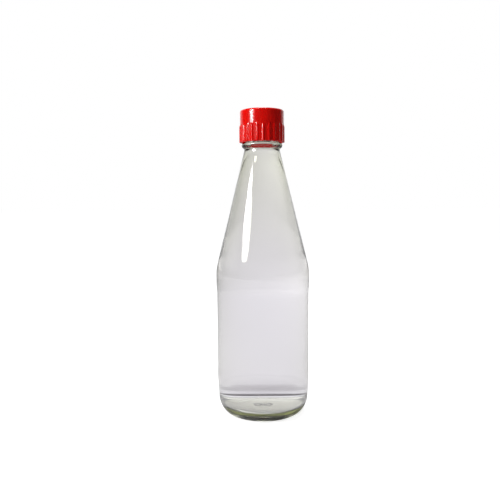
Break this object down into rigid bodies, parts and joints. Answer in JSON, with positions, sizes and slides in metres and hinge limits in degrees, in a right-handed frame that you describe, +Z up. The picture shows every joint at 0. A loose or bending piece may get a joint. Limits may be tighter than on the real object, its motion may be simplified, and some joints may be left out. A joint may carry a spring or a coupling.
{
  "type": "glass ketchup bottle",
  "caption": "Clear glass sauce bottle with a long conical neck and a recessed label panel, filled with clear liquid and closed by a ribbed red cap.",
  "frame": {"origin": "centre of the ring that the bottle stands on, in the plane of the table", "axes": "+Z up along the bottle's axis of symmetry; the bottle is round, so +X and +Y are free"},
  "size_m": [0.069, 0.069, 0.2245],
  "materials": {
    "glass": "clear, with an olive tint where it is seen along the base",
    "liquid": "clear liquid",
    "cap": "glossy moulded red"
  },
  "bodies": {
    "root": {"glass_bottle": "glass", "clear_liquid": "liquid", "screw_cap": "cap"}
  },
  "joints": []
}
